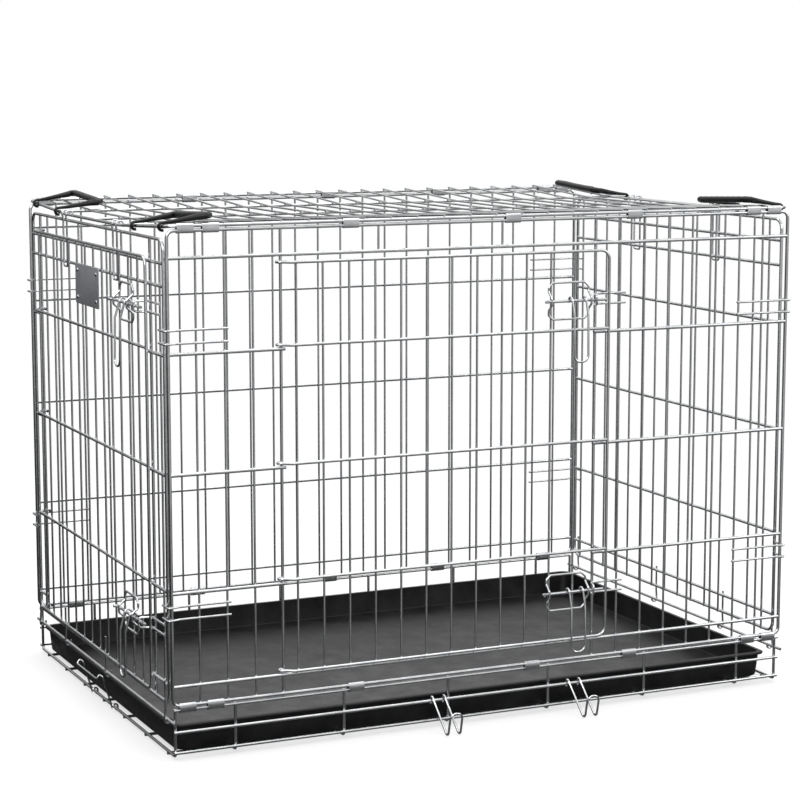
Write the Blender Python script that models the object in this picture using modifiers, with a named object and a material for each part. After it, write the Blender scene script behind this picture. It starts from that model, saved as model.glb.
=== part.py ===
"""A folding two-door wire dog crate with a plastic tray and four plastic carry handles.

Metres, +Z up. X runs along the front from left to right, Y from the front to the rear.
The origin lies on the floor under the middle of the cage.
"""

import bmesh
import bpy
from math import cos, pi, radians, sin, tan
from mathutils import Matrix, Vector

# Driving dimensions
WIDTH = 0.910
DEPTH = 0.610
COLUMNS = 24
ROWS = 16
RAIL_R = 0.0023
DOOR_R = 0.0020
WIRE_R = 0.0015
HOOK_R = 0.0014
WELD = 0.0004
GAP = 0.0005

# Heights of the cage above the floor
FLOOR_Z = 0.0020
CROSS_Z = FLOOR_Z + 2 * DOOR_R - WELD
WALL_RAILS = (0.0105, 0.0372, 0.0662)
PANEL_BOTTOM = 0.0718
PANEL_TOP = 0.6735
PANEL_RAILS = (0.0966, 0.2170, 0.3680, 0.5200, PANEL_TOP - 0.0340)
REAR_RAILS = (0.0966, 0.2290, 0.3800, 0.5320, PANEL_TOP - 0.0340)
CLIP_ZS = (PANEL_TOP - 0.1237, PANEL_TOP - 0.1402, 0.2000, 0.1836)
REAR_CLIPS_UP = 0.0125
ROOF_Z = PANEL_TOP + 2 * RAIL_R + 0.0010
ROOF_SAG = 0.0115
CORNER_R = 0.009

# The end panels, which fold inwards on the base's end rails
END_INSET = 0.0137
END_BOTTOM = 0.0716
END_TOP = PANEL_TOP - 0.0120
LEFT_RAILS = (0.0966, 0.2170, 0.3660, 0.5170, END_TOP - 0.0580, END_TOP - 0.0295)
RIGHT_RAILS = (0.0966, 0.2170, 0.3660, 0.5170, END_TOP - 0.0640, END_TOP - 0.0295)
END_RAIL_Z = 0.0500

# The doors, their latches and the catches beside them
DOOR_OUT = RAIL_R + GAP + 2 * WIRE_R + DOOR_R - 0.0003
BOLT_R = 0.0020
BOLT_OUT = DOOR_OUT + DOOR_R + GAP + BOLT_R
KINK_OUT = BOLT_OUT + BOLT_R + GAP + WIRE_R
GUIDE_H = 0.0490
PITCH_X = WIDTH / COLUMNS
PITCH_Y = DEPTH / ROWS
FRONT_DOOR = {
    "hinge": 4 * PITCH_X, "latch": 16 * PITCH_X, "first": 0.0178, "last": 0.0355,
    "count": 12, "edge": 0.0148, "rails": (0.1018, 0.2225, 0.3730, 0.5250, PANEL_TOP - 0.0435),
    "guide": 0.0467, "width": 0.0600, "tip": 0.0078, "bolt": 0.0920, "pull": 0.0110,
    "latches": {"upper": PANEL_TOP - 0.1090, "lower": 0.1680},
}
END_DOOR = {
    "hinge": 1 * PITCH_Y, "latch": 14 * PITCH_Y, "first": 0.0189, "last": 0.0256,
    "count": 13, "edge": 0.0142, "rails": (0.0800, 0.2225, 0.3715, 0.5225, END_TOP - 0.0240),
    "guide": 0.0637, "width": 0.0540, "tip": 0.0083, "bolt": 0.1180, "pull": 0.0100,
    "latches": {"upper": END_TOP - 0.0880, "lower": 0.1640},
}

# The tray
TRAY_WALL = 0.0022
TRAY_BOTTOM = CROSS_Z + DOOR_R + 0.0003
TRAY_TOP = 0.0415
TRAY_HALF_Y = DEPTH / 2 - 0.0105
TRAY_LEFT = -WIDTH / 2 + 0.0030
TRAY_RIGHT = WIDTH / 2 - 0.0120

for old in list(bpy.data.objects):
    bpy.data.objects.remove(old)
parts = bpy.data.collections.new("dog_crate")
cutters = bpy.data.collections.new("cutters")
bpy.context.scene.collection.children.link(parts)
bpy.context.scene.collection.children.link(cutters)


def material(name, color, roughness, metallic):
    made = bpy.data.materials.new(name)
    made.use_nodes = True
    shader = made.node_tree.nodes["Principled BSDF"]
    shader.inputs["Base Color"].default_value = (*color, 1.0)
    shader.inputs["Roughness"].default_value = roughness
    shader.inputs["Metallic"].default_value = metallic
    return made


ZINC = material("bright_zinc", (0.72, 0.73, 0.75), 0.22, 1.0)
PLASTIC = material("black_plastic", (0.012, 0.012, 0.014), 0.45, 0.0)
STEEL = material("grey_steel", (0.42, 0.43, 0.44), 0.38, 1.0)


# The four sides share one way of naming places: along from the side's left corner as seen
# from outside, out from the plane of its rails, and up from the floor.
def front(along, out, up):
    return Vector((along - WIDTH / 2, -DEPTH / 2 - out, up))


def rear(along, out, up):
    return Vector((WIDTH / 2 - along, DEPTH / 2 + out, up))


def left(along, out, up):
    return Vector((-WIDTH / 2 - out, DEPTH / 2 - along, up))


def right(along, out, up):
    return Vector((WIDTH / 2 + out, along - DEPTH / 2, up))


def rounded(points, radius, closed=False, steps=2):
    """The points with each corner turned into a short arc."""
    made = []
    for index, point in enumerate(points):
        if not closed and index in (0, len(points) - 1):
            made.append(point)
            continue
        before = points[index - 1] - point
        after = points[(index + 1) % len(points)] - point
        angle = before.angle(after)
        if angle > radians(174):
            made.append(point)
            continue
        reach = min(radius / tan(angle / 2), 0.48 * before.length, 0.48 * after.length)
        middle = (before.normalized() + after.normalized()).normalized()
        centre = point + middle * reach / cos(angle / 2)
        start = point + before.normalized() * reach - centre
        end = point + after.normalized() * reach - centre
        turn = pi - angle
        for step in range(steps + 1):
            share = step / steps
            mix = start * sin((1 - share) * turn) + end * sin(share * turn)
            made.append(centre + mix / sin(turn))
    return made


def mesh_of(curve):
    """The curve's surface as one closed mesh."""
    holder = bpy.data.objects.new(curve.name, curve)
    parts.objects.link(holder)
    graph = bpy.context.evaluated_depsgraph_get()
    mesh = bpy.data.meshes.new_from_object(holder.evaluated_get(graph))
    bpy.data.objects.remove(holder)
    return mesh


def closed_up(mesh):
    """The mesh with doubled points joined and its faces turned outwards."""
    shape = bmesh.new()
    shape.from_mesh(mesh)
    bmesh.ops.remove_doubles(shape, verts=shape.verts, dist=0.00001)
    bmesh.ops.recalc_face_normals(shape, faces=shape.faces)
    shape.to_mesh(mesh)
    shape.free()
    return mesh


def wires(paths, radius, sides=6, tilt=0.0, closed=False):
    """One mesh of round wires along the paths, with closed ends."""
    curve = bpy.data.curves.new("wire", "CURVE")
    curve.dimensions = "3D"
    curve.bevel_depth = radius
    curve.bevel_resolution = sides // 2 - 2
    curve.use_fill_caps = True
    for path in paths:
        spline = curve.splines.new("POLY")
        spline.points.add(len(path) - 1)
        for knot, place in zip(spline.points, path):
            knot.co = (*place, 1.0)
            knot.tilt = tilt
        spline.use_cyclic_u = closed
    return closed_up(mesh_of(curve))


def add(name, mesh, finish, origin=(0, 0, 0)):
    """A named piece whose origin is moved to a point, such as one on its joint's axis."""
    mesh.transform(Matrix.Translation(-Vector(origin)))
    mesh.materials.clear()
    mesh.materials.append(finish)
    mesh.shade_smooth()
    mesh.set_sharp_from_angle(angle=radians(50))
    piece = bpy.data.objects.new(name, mesh)
    piece.location = origin
    parts.objects.link(piece)
    return piece


def weld(piece, meshes):
    """Further wires welded on, each set by a Boolean union."""
    for index, mesh in enumerate(meshes):
        other = bpy.data.objects.new(f"{piece.name}_weld_{index}", mesh)
        other.hide_render = True
        other.display_type = "WIRE"
        cutters.objects.link(other)
        union = piece.modifiers.new(f"weld_{index}", "BOOLEAN")
        union.operation = "UNION"
        union.solver = "EXACT"
        union.object = other
    return piece


def loop(place, low_u, high_u, low_w, high_w, out=0.0, radius=CORNER_R):
    corners = ((low_u, low_w), (high_u, low_w), (high_u, high_w), (low_u, high_w))
    return rounded([place(u, out, w) for u, w in corners], radius, closed=True)


def between(place, low_u, high_u, out, up):
    return [place(low_u, out, up), place(high_u, out, up)]


def upright(place, along, out, low, high):
    return [place(along, out, low), place(along, out, high)]


def sag(share):
    """How far the roof hangs below its corners, a share of the way from front to rear."""
    return ROOF_SAG * 4 * share * (1 - share)


def roof_rail_height(along):
    """Height of a roof end rail, which is straight between its bends."""
    shares = [0.02, 0.30, 0.70, 0.98]
    share = along / DEPTH
    for low, high in zip(shares, shares[1:]):
        if low <= share <= high:
            mix = (share - low) / (high - low)
            return ROOF_Z - sag(low) * (1 - mix) - sag(high) * mix
    return ROOF_Z


# Welded wire panels: a rounded frame, rails in its plane, and thinner uprights behind them
BEHIND = -(RAIL_R + WIRE_R - WELD)
POST_BEHIND = -(RAIL_R + DOOR_R - WELD)
TURNED = pi / 6
END_LOW = END_INSET
END_HIGH = DEPTH - END_INSET
TIP = 0.0012


def eye(place, along, out, up, radius, start, sweep, steps=6):
    """Points of a wire's curl round an upright, in a level plane."""
    angles = [start + sweep * step / steps for step in range(steps + 1)]
    return [place(along + radius * cos(a), out + radius * sin(a), up) for a in angles]


EYE = (DOOR_R + GAP + DOOR_R) / cos(radians(24)) + 0.0001


def rail_start(place, door, up):
    """A curl that begins behind the hinge post, passes it on its far side and comes out."""
    post = door["hinge"]
    curl = eye(place, post, POST_BEHIND, up, EYE, radians(-50), radians(-240), 5)
    return curl + [place(post + 0.0110, DOOR_OUT, up)]


def latch_guide(place, along, width, up):
    """A wire loop whose two sides bend out to carry the bolt."""
    flat = DOOR_OUT - (DOOR_R + WIRE_R - WELD) + 2 * WIRE_R - WELD
    half_w, half_h = width / 2, GUIDE_H / 2
    path = []
    for side, order in ((-1, (1, -1)), (1, (-1, 1))):
        edge = along + side * half_w
        path.append(place(along + side * (half_w - 0.006), flat, up + order[0] * half_h))
        path.append(place(edge, flat, up + order[0] * (half_h - 0.006)))
        path.append(place(edge, flat, up + order[0] * 0.0125))
        path.append(place(edge, KINK_OUT, up + order[0] * 0.0045))
        path.append(place(edge, KINK_OUT, up + order[1] * 0.0045))
        path.append(place(edge, flat, up + order[1] * 0.0125))
        path.append(place(edge, flat, up + order[1] * (half_h - 0.006)))
        path.append(place(along + side * (half_w - 0.006), flat, up + order[1] * half_h))
    return path


def keeper(place, door, pitch, up):
    """A hairpin on the two posts beside the door, whose closed end stands out past the bolt."""
    post = door["latch"]
    flat = BEHIND + 2 * WIRE_R - WELD
    half = 0.0068
    start = post + pitch + 0.0070
    path = [
        place(start, flat, up + half),
        place(post - 0.0030, flat, up + half),
        place(post - 0.0085, KINK_OUT, up + half),
        place(post - 0.0085, KINK_OUT, up - half),
        place(post - 0.0030, flat, up - half),
        place(start, flat, up - half),
    ]
    return rounded(path, 0.004, steps=1)


def door_piece(name, place, door):
    """A door whose uprights, guides and free edge are set from the posts at its two sides."""
    low, high = door["rails"][0], door["rails"][-1]
    edge = door["latch"] + door["edge"]
    top = rail_start(place, door, high)
    bottom = rail_start(place, door, low)
    corners = [place(edge, DOOR_OUT, high), place(edge, DOOR_OUT, low)]
    bend = rounded([top[-1], *corners, bottom[-1]], 0.012, steps=2)
    outline = top[:-1] + bend + bottom[:-1][::-1]
    origin = place(door["hinge"], POST_BEHIND, 0)
    piece = add(name, wires([outline], DOOR_R, 6), ZINC, origin)
    bars = [
        rail_start(place, door, up) + [place(edge - 0.0006, DOOR_OUT, up)]
        for up in door["rails"][1:-1]
    ]
    first, last = door["hinge"] + door["first"], door["latch"] - door["last"]
    spacing = (last - first) / (door["count"] - 1)
    out = DOOR_OUT - (DOOR_R + WIRE_R - WELD)
    uprights = [
        upright(place, first + spacing * i, out, low - TIP, high + TIP)
        for i in range(door["count"])
    ]
    guides = [
        latch_guide(place, door["latch"] - door["guide"], door["width"], up)
        for up in door["latches"].values()
    ]
    weld(piece, [
        wires(bars, DOOR_R, 6),
        wires(uprights, WIRE_R, 4),
        wires(guides, WIRE_R, 6, closed=True),
    ])
    return piece


def corner_clips(place, span, lift=0.0):
    """Pairs of short wires at both ends of a panel that hook round the end panels' posts."""
    paths = []
    out = BEHIND + 2 * WIRE_R - WELD
    for up in [height + lift for height in CLIP_ZS]:
        for near, side in ((0.0, 1), (span, -1)):
            inner = near + side * (3 * PITCH_X + 0.004)
            tip = near - side * (RAIL_R + GAP + WIRE_R + 0.0012)
            paths.append([
                place(inner, out, up),
                place(near + side * 0.0100, out, up),
                place(tip, RAIL_R + GAP + WIRE_R, up),
                place(tip, -END_INSET - 0.0050, up),
            ])
    return paths


# The front panel, with a doorway between its fourth and sixteenth uprights
front_rails = [between(front, 0.0006, WIDTH - 0.0006, 0, up) for up in PANEL_RAILS[::4]]
for up in PANEL_RAILS[1:4]:
    front_rails.append(between(front, 0.0006, FRONT_DOOR["hinge"] + 0.0040, 0, up))
    front_rails.append(between(front, FRONT_DOOR["latch"] - 0.0040, WIDTH - 0.0006, 0, up))
front_ups = [
    upright(front, i * PITCH_X, BEHIND, PANEL_BOTTOM - TIP, PANEL_TOP + TIP)
    for i in (1, 2, 3, *range(17, COLUMNS))
]
for along in (FRONT_DOOR["hinge"] + 0.1353, FRONT_DOOR["latch"] - 0.1411):
    front_ups.append(upright(front, along, BEHIND, PANEL_RAILS[-1] - TIP, PANEL_TOP + TIP))
front_posts = [
    upright(front, post, POST_BEHIND, PANEL_BOTTOM - TIP, PANEL_TOP + TIP)
    for post in (FRONT_DOOR["hinge"], FRONT_DOOR["latch"])
]
front_panel = add(
    "front_panel",
    wires([loop(front, 0, WIDTH, PANEL_BOTTOM, PANEL_TOP)], RAIL_R, 6, closed=True),
    ZINC,
)
weld(front_panel, [
    wires(front_rails, RAIL_R, 6),
    wires(front_ups, WIRE_R, 4),
    wires(front_posts, DOOR_R, 6),
    wires(corner_clips(front, WIDTH), WIRE_R, 4),
    wires(
        [keeper(front, FRONT_DOOR, PITCH_X, up) for up in FRONT_DOOR["latches"].values()],
        WIRE_R, 6,
    ),
])
front_door = door_piece("front_door", front, FRONT_DOOR)

# The rear panel has no doorway
rear_panel = add(
    "rear_panel",
    wires([loop(rear, 0, WIDTH, PANEL_BOTTOM, PANEL_TOP)], RAIL_R, 6, closed=True),
    ZINC,
)
rear_ups = [
    upright(rear, i * PITCH_X, BEHIND, PANEL_BOTTOM - TIP, PANEL_TOP + TIP)
    for i in range(1, COLUMNS)
]
weld(rear_panel, [
    wires([between(rear, 0.0006, WIDTH - 0.0006, 0, up) for up in REAR_RAILS], RAIL_R, 6),
    wires(rear_ups, WIRE_R, 4),
    wires(corner_clips(rear, WIDTH, REAR_CLIPS_UP), WIRE_R, 4),
])


# End panels hang on the base's end rails by J-shaped wires and hook over the roof's ends
HOOK_EYE = (DOOR_R + GAP + HOOK_R) / cos(radians(20)) + 0.0002
HINGE_ALONG = (0.0200, 0.1500, DEPTH - 0.2700, DEPTH - 0.0200)
TOP_HOOKS = (0.1880, DEPTH - 0.1959)


def hinge_hook(place, along):
    """A wire that runs down from the panel's foot and turns round the end rail below it."""
    curl = []
    for step in range(6):
        a = radians(10 - 45 * step)
        curl.append(place(along, HOOK_EYE * cos(a), END_RAIL_Z + HOOK_EYE * sin(a)))
    out = RAIL_R + HOOK_R - WELD
    shank = upright(place, along, out, END_BOTTOM - 0.0060, LEFT_RAILS[0] + 0.0050)
    return shank[::-1] + curl


def top_hook(place, along, third):
    """A hairpin whose closed end is at the third rail and whose free ends hook over the roof's."""
    rail = roof_rail_height(along)
    half = 0.0085
    out = RAIL_R + HOOK_R - WELD + 0.0008
    over = RAIL_R + GAP + HOOK_R + 0.0008
    one_leg = [
        (RAIL_R + HOOK_R - WELD, third - 0.0060),
        (RAIL_R + HOOK_R - WELD, END_TOP + 0.0010),
        (out + 0.0006, rail),
        (out - 0.0006, rail + over),
        (-over, rail + over),
        (-over - 0.0006, rail - 0.0030),
    ]
    near = [place(along - half, o, w) for o, w in reversed(one_leg)]
    far = [place(along + half, o, w) for o, w in one_leg]
    return near + far


def end_panel(name, place, heights, doorway):
    span = between(place, END_LOW + 0.0006, END_HIGH - 0.0006, 0, 0)
    rails = []
    for up in heights:
        if doorway and up < heights[-2]:
            rails.append(between(place, END_LOW + 0.0006, END_DOOR["hinge"] + 0.0040, 0, up))
            rails.append(between(place, END_DOOR["latch"] - 0.0040, END_HIGH - 0.0006, 0, up))
        else:
            rails.append([point + Vector((0, 0, up)) for point in span])
    ups = [15] if doorway else list(range(1, ROWS))
    uprights = [
        upright(place, i * PITCH_Y, BEHIND, END_BOTTOM - TIP, END_TOP + TIP) for i in ups
    ]
    if doorway:
        uprights += [
            upright(place, i * PITCH_Y, BEHIND, heights[-1] - TIP, END_TOP + TIP)
            for i in (2, 6, 11)
        ]
    hooks = [hinge_hook(place, along) for along in HINGE_ALONG]
    hooks += [top_hook(place, along, heights[-2]) for along in TOP_HOOKS]
    origin = place(DEPTH / 2, 0, END_RAIL_Z)
    frame = loop(place, END_LOW, END_HIGH, END_BOTTOM, END_TOP, radius=0.014)
    piece = add(name, wires([frame], RAIL_R, 6, closed=True), ZINC, origin)
    sets = [wires(rails, RAIL_R, 6), wires(uprights, WIRE_R, 4), wires(hooks, HOOK_R, 4)]
    if doorway:
        posts = [
            upright(place, post, POST_BEHIND, END_BOTTOM - TIP, END_TOP + TIP)
            for post in (END_DOOR["hinge"], END_DOOR["latch"])
        ]
        catches = [keeper(place, END_DOOR, PITCH_Y, up) for up in END_DOOR["latches"].values()]
        sets += [wires(posts, DOOR_R, 6), wires(catches, WIRE_R, 6)]
    return weld(piece, sets)


left_end_panel = end_panel("left_end_panel", left, LEFT_RAILS, True)
right_end_panel = end_panel("right_end_panel", right, RIGHT_RAILS, False)
end_door = door_piece("end_door", left, END_DOOR)


# The roof sags a little towards its middle
def roof_line(x, lift, low=0.0, high=1.0):
    shares = [low, 0.30, 0.70, high]
    return [
        Vector((x, DEPTH * (share - 0.5), ROOF_Z + lift - sag(min(max(share, 0), 1))))
        for share in shares
    ]


left_side = roof_line(-WIDTH / 2, 0, 0.02, 0.98)
right_side = roof_line(WIDTH / 2, 0, 0.02, 0.98)


def roof_corner(x, y):
    return Vector((x, y, ROOF_Z))


roof_path = [roof_corner(-WIDTH / 2 + 0.012, -DEPTH / 2)]
roof_path += [roof_corner(WIDTH / 2 - 0.012, -DEPTH / 2)]
roof_path += [roof_corner(WIDTH / 2 - 0.0035, -DEPTH / 2 + 0.0035)] + right_side
roof_path += [roof_corner(WIDTH / 2 - 0.0035, DEPTH / 2 - 0.0035)]
roof_path += [roof_corner(WIDTH / 2 - 0.012, DEPTH / 2)]
roof_path += [roof_corner(-WIDTH / 2 + 0.012, DEPTH / 2)]
roof_path += [roof_corner(-WIDTH / 2 + 0.0035, DEPTH / 2 - 0.0035)] + left_side[::-1]
roof_path += [roof_corner(-WIDTH / 2 + 0.0035, -DEPTH / 2 + 0.0035)]
roof_panel = add("roof_panel", wires([roof_path], RAIL_R, 6, TURNED, closed=True), ZINC)
OVER = RAIL_R + WIRE_R - WELD
roof_ups = [
    roof_line(-WIDTH / 2 + i * PITCH_X, OVER, -0.002, 1.002) for i in range(1, COLUMNS)
]
roof_bars = []
for share in (0.25, 0.5, 0.75):
    up = roof_rail_height(share * DEPTH) + OVER - (WIRE_R + DOOR_R - WELD)
    y = DEPTH * (share - 0.5)
    roof_bars.append([Vector((side * (WIDTH / 2 - 0.0006), y, up)) for side in (-1, 1)])
weld(roof_panel, [wires(roof_bars, DOOR_R, 6, TURNED), wires(roof_ups, WIRE_R, 4)])

# The base: a shallow wire basket whose floor wires turn up as the posts of its walls
FIRST_POST, LAST_POST, POSTS = 0.0850, 0.0675, 6
POST_STEP = (WIDTH - FIRST_POST - LAST_POST) / (POSTS - 1)
POST_XS = [-WIDTH / 2 + FIRST_POST + POST_STEP * i for i in range(POSTS)]
END_X = WIDTH / 2 - (2 * DOOR_R - WELD)
WALL_IN = 2 * DOOR_R - WELD
wall_y = DEPTH / 2 - WALL_IN


def basket_wire(x):
    path = [
        Vector((x, -wall_y, WALL_RAILS[-1] + TIP)),
        Vector((x, -wall_y, CROSS_Z)),
        Vector((x, wall_y, CROSS_Z)),
        Vector((x, wall_y, WALL_RAILS[-1] + TIP)),
    ]
    return rounded(path, 0.004, steps=1)


wall_rails = [
    [Vector((sx * (WIDTH / 2 - 0.0008), sy * DEPTH / 2, up)) for sx in (-1, 1)]
    for up in WALL_RAILS
    for sy in (-1, 1)
]
FIRST_FLOOR, LAST_FLOOR, FLOORS = 0.0330, 0.0328, 7
FLOOR_STEP = (DEPTH - FIRST_FLOOR - LAST_FLOOR) / (FLOORS - 1)
FLOOR_YS = [-DEPTH / 2 + FIRST_FLOOR + FLOOR_STEP * i for i in range(FLOORS)]
floor_wires = [[Vector((sx * (END_X + 0.001), y, FLOOR_Z)) for sx in (-1, 1)] for y in FLOOR_YS]
end_rails = [
    [Vector((side * WIDTH / 2, sy * (DEPTH / 2 + 0.0070), END_RAIL_Z)) for sy in (-1, 1)]
    for side in (-1, 1)
]
base_frame = add(
    "base_frame",
    wires([basket_wire(x) for x in POST_XS + [-END_X, END_X]], DOOR_R, 6, TURNED),
    ZINC,
)
weld(base_frame, [
    wires(wall_rails, DOOR_R, 6),
    wires(floor_wires, DOOR_R, 6, TURNED),
    wires(end_rails, DOOR_R, 6),
])

# The tray: a shallow moulded pan with sloping walls and a turned-out rim
shape = bmesh.new()
bmesh.ops.create_cube(shape, size=1.0)
low_x, low_y = (TRAY_RIGHT - TRAY_LEFT) / 2 - 0.0070, TRAY_HALF_Y - 0.0070
for vert in shape.verts:
    lift = 0.0030 if vert.co.z > 0 else 0.0
    vert.co.x = (low_x + lift) * (1 if vert.co.x > 0 else -1) + (TRAY_LEFT + TRAY_RIGHT) / 2
    vert.co.y = (low_y + lift) * (1 if vert.co.y > 0 else -1)
    vert.co.z = TRAY_TOP if vert.co.z > 0 else TRAY_BOTTOM
top = [face for face in shape.faces if face.normal.z > 0.9]
bmesh.ops.delete(shape, geom=top, context="FACES_ONLY")
corners = [e for e in shape.edges if abs(e.verts[0].co.z - e.verts[1].co.z) > 0.01]
bmesh.ops.bevel(shape, geom=corners, offset=0.014, segments=3, affect="EDGES", profile=0.5)
foot = [e for e in shape.edges if max(v.co.z for v in e.verts) < TRAY_BOTTOM + 0.0001]
bmesh.ops.bevel(shape, geom=foot, offset=0.003, segments=1, affect="EDGES", profile=0.5)
rim = [e for e in shape.edges if e.is_boundary]
edge = bmesh.ops.extrude_edge_only(shape, edges=rim)["geom"]
middle_x = (TRAY_LEFT + TRAY_RIGHT) / 2
for vert in [v for v in edge if isinstance(v, bmesh.types.BMVert)]:
    vert.co.x = middle_x + (vert.co.x - middle_x) * (1 + 0.0040 / low_x)
    vert.co.y *= 1 + 0.0040 / low_y
bmesh.ops.recalc_face_normals(shape, faces=shape.faces)
tray_mesh = bpy.data.meshes.new("tray")
shape.to_mesh(tray_mesh)
shape.free()
tray = add("tray", tray_mesh, PLASTIC)
skin = tray.modifiers.new("wall", "SOLIDIFY")
skin.thickness = TRAY_WALL
skin.offset = 1.0
skin.use_even_offset = True


# Sheet-metal sleeves, each bent round two parallel rails
def sleeve(name, place, along, low, high):
    reach = RAIL_R + 0.00035
    sheet = 0.0008
    length = 0.0220
    curve = bpy.data.curves.new(name, "CURVE")
    curve.dimensions = "2D"
    curve.fill_mode = "BOTH"
    curve.extrude = length / 2
    for size in (reach + sheet, reach):
        spline = curve.splines.new("POLY")
        spline.points.add(7)
        for index, knot in enumerate(spline.points):
            half = index // 4
            a = radians(180 * half + 60 * (index % 4))
            middle = low if half else high
            spread = size / cos(radians(30)) if index % 4 in (1, 2) else size
            knot.co = (spread * cos(a), middle + spread * sin(a), 0, 1)
        spline.use_cyclic_u = True
    mesh = mesh_of(curve)
    # its outline stands up and its length runs along the rails
    for vert in mesh.vertices:
        vert.co = place(along + vert.co.z, vert.co.x, vert.co.y)
    return add(name, closed_up(mesh), ZINC)


TOP_PAIR = (PANEL_TOP, ROOF_Z)
LOW_PAIR = (WALL_RAILS[-1], PANEL_BOTTOM)
SLEEVES = {
    "front_top": (front, TOP_PAIR, (0.62, 1.5, 6.5, 12.63, 17.5, 22.5, 23.38)),
    "front_low": (front, LOW_PAIR, (0.5, 1.5, 6.65, 13.5, 17.5, 22.6, 23.5)),
    "rear_top": (rear, TOP_PAIR, (0.62, 1.5, 6.5, 11.5, 17.5, 23.38)),
    "rear_low": (rear, LOW_PAIR, (1.4, 6.5, 11.5, 17.35, 22.5)),
}
for label, (place, pair, columns) in SLEEVES.items():
    for index, column in enumerate(columns):
        sleeve(f"sleeve_{label}_{index + 1}", place, column * PITCH_X, *pair)


# Slide bolts with their wire pulls, two on each door
def bolt(name, place, door, up):
    tip = door["latch"] + door["tip"]
    tail = tip - door["bolt"]
    path = rounded([
        place(tail, BOLT_OUT + 0.0055, up),
        place(tail, BOLT_OUT, up),
        place(tip, BOLT_OUT, up),
    ], 0.003)
    return add(name, wires([path], BOLT_R), ZINC, place(tip, BOLT_OUT, up))


def pull(name, place, door, up):
    """A U of wire whose two ends curl round the bolt and whose legs lean clear of the guide."""
    along = door["latch"] - door["guide"] + door["pull"]
    step = radians(70)
    ring = (BOLT_R + GAP + WIRE_R) / cos(step / 2) + 0.0001
    leg = []
    for index in range(4):
        a = radians(-30) + step * index
        leg.append((BOLT_OUT - ring * cos(a), ring * sin(a)))
    leg += [(BOLT_OUT + 0.0110, -0.0200), (BOLT_OUT + 0.0120, -0.0810)]
    near = [place(along - 0.0105, out, up + w) for out, w in leg]
    far = [place(along + 0.0105, out, up + w) for out, w in reversed(leg)]
    path = near[:-2] + rounded(near[-2:] + far[:2], 0.009, steps=2) + far[2:]
    return add(name, wires([path], WIRE_R, 6), ZINC, place(along, BOLT_OUT, up))


for side, place, door in (("front", front, FRONT_DOOR), ("end", left, END_DOOR)):
    for level, up in door["latches"].items():
        bolt(f"{side}_bolt_{level}", place, door, up)
        pull(f"{side}_pull_{level}", place, door, up)


# A small steel plate on the end door, held by four rivets
def slab(name, place, low_u, high_u, low_w, high_w, out, thick):
    curve = bpy.data.curves.new(name, "CURVE")
    curve.dimensions = "2D"
    curve.fill_mode = "BOTH"
    curve.extrude = thick / 2
    spline = curve.splines.new("POLY")
    corners = [Vector((u, w, 0)) for u, w in (
        (low_u, low_w), (high_u, low_w), (high_u, high_w), (low_u, high_w)
    )]
    outline = rounded(corners, 0.003, closed=True)
    spline.points.add(len(outline) - 1)
    for knot, point in zip(spline.points, outline):
        knot.co = (*point, 1)
    spline.use_cyclic_u = True
    mesh = mesh_of(curve)
    for vert in mesh.vertices:
        vert.co = place(vert.co.x, out + vert.co.z, vert.co.y)
    return closed_up(mesh)


PLATE = {
    "low_u": END_DOOR["hinge"] + 0.2079, "high_u": END_DOOR["hinge"] + 0.3119,
    "low_w": END_TOP - 0.1095, "high_w": END_TOP - 0.0545,
}
plate_out = DOOR_OUT - (DOOR_R + WIRE_R - WELD) + WIRE_R + 0.0003 + 0.0006
plate = add("door_plate", slab("door_plate", left, out=plate_out, thick=0.0012, **PLATE), STEEL)
rivets = [
    [left(u, plate_out + 0.0002, w), left(u, plate_out + 0.0014, w)]
    for u in (PLATE["low_u"] + 0.010, PLATE["high_u"] - 0.010)
    for w in (PLATE["low_w"] + 0.009, PLATE["high_w"] - 0.009)
]
weld(plate, [wires(rivets, 0.0021)])


# Two J-shaped fold-lock hooks on the base's middle rail, and the tray stop at the left end
def fold_hook(name, along):
    pivot = WALL_RAILS[1]
    step = radians(75)
    ring = (DOOR_R + GAP + WIRE_R) / cos(step / 2) + 0.0001
    leg = []
    for index in range(4):
        a = radians(-60) + step * index
        leg.append((-ring * cos(a), pivot + ring * sin(a)))
    leg += [(0.0490, -0.0014), (0.0570, 0.0330)]
    near = [front(along - 0.0088, out, up) for out, up in leg]
    far = [front(along + 0.0088, out, up) for out, up in reversed(leg)]
    path = near[:-3] + rounded(near[-3:] + far[:3], 0.005, steps=2) + far[3:]
    return add(name, wires([path], WIRE_R, 6), ZINC, front(along, 0, pivot))


fold_hook("fold_hook_left", WIDTH / 2 - 0.0835)
fold_hook("fold_hook_right", WIDTH / 2 + 0.1220)

stop_middle = DEPTH / 2 + 0.0045
stop_half = 0.0455
stop_step = radians(60)
stop_ring = (DOOR_R + 0.0004 + 0.0013) / cos(stop_step / 2)
stop_pivot = WIDTH / 2 - END_X
stop_leg = []
for index in range(5):
    a = radians(-75) + stop_step * index
    stop_leg.append((-stop_pivot - stop_ring * cos(a), CROSS_Z + stop_ring * sin(a)))
stop_leg += [(0.0130, 0.0490), (0.0175, 0.0535), (0.0215, 0.0475)]
stop_near = [left(stop_middle - stop_half, out, up) for out, up in stop_leg]
stop_far = [left(stop_middle + stop_half, out, up) for out, up in reversed(stop_leg)]
stop_path = stop_near + stop_far
tray_stop = add(
    "tray_stop", wires([stop_path], 0.0013, 6), ZINC, left(stop_middle, -stop_pivot, CROSS_Z)
)


# Plastic carry handles, hooked round the roof's end rails
HANDLE_R = 0.0050
HANDLE_HALF = 0.0535


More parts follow.
